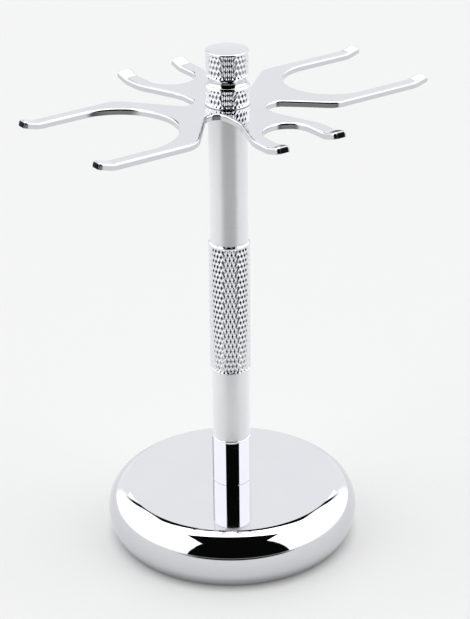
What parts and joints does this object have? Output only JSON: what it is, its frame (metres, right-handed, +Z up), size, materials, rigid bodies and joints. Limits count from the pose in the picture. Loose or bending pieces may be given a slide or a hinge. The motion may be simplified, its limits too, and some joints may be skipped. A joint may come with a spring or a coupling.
{
  "type": "shaving brush and razor stand",
  "caption": "Free-standing chrome stand: weighted round base, knurled and satin stem, and a flat plate whose wide and narrow upturned forks hold brushes and razors.",
  "frame": {"origin": "centre of the underside of the base pad, on the stem axis", "axes": "+Z up along the stem; X along the two brush forks, with the wide fork at -X; Y along the two razor forks"},
  "size_m": [0.1222, 0.0856, 0.164],
  "materials": {
    "base_chrome": "mirror polished plating",
    "weight_iron": "rough cast",
    "pad_rubber": "matt black",
    "fastener_steel": "zinc plated",
    "post_chrome": "mirror polished plating",
    "stem_satin": "satin, evenly fine blasted",
    "knurled_chrome": "plated, diamond knurled on the grips",
    "plate_chrome": "mirror polished plating",
    "washer_nylon": "plain nylon"
  },
  "bodies": {
    "stand": {"base_shell": "base_chrome", "base_weight": "weight_iron", "base_pad": "pad_rubber", "base_screw": "fastener_steel", "spring_washer": "fastener_steel", "base_washer": "fastener_steel", "foot_post": "post_chrome", "lower_stem": "stem_satin", "grip_section": "knurled_chrome", "upper_stem": "stem_satin", "section_studs": "fastener_steel", "finial_stud": "fastener_steel"},
    "plate": {"fork_plate": "plate_chrome"},
    "clamp": {"clamp_washer": "washer_nylon"},
    "finial": {"finial_collar": "knurled_chrome", "finial_knob": "knurled_chrome"}
  },
  "joints": [
    {"name": "plate_swivel", "type": "hinge", "parent": "stand", "child": "plate", "pos_m": [0, 0, 0.146], "axis": [0, 0, 1], "continuous": true},
    {"name": "finial_lift", "type": "slide", "parent": "stand", "child": "clamp", "axis": [0, 0, 1], "range_m": [0, 0.01]},
    {"name": "finial_turn", "type": "hinge", "parent": "clamp", "child": "finial", "pos_m": [0, 0, 0.155], "axis": [0, 0, 1], "range_deg": [0, 3600]}
  ],
  "couplings": [
    {"joint": "finial_lift", "follows": "finial_turn", "m_per_rad": 0.00015915}
  ]
}
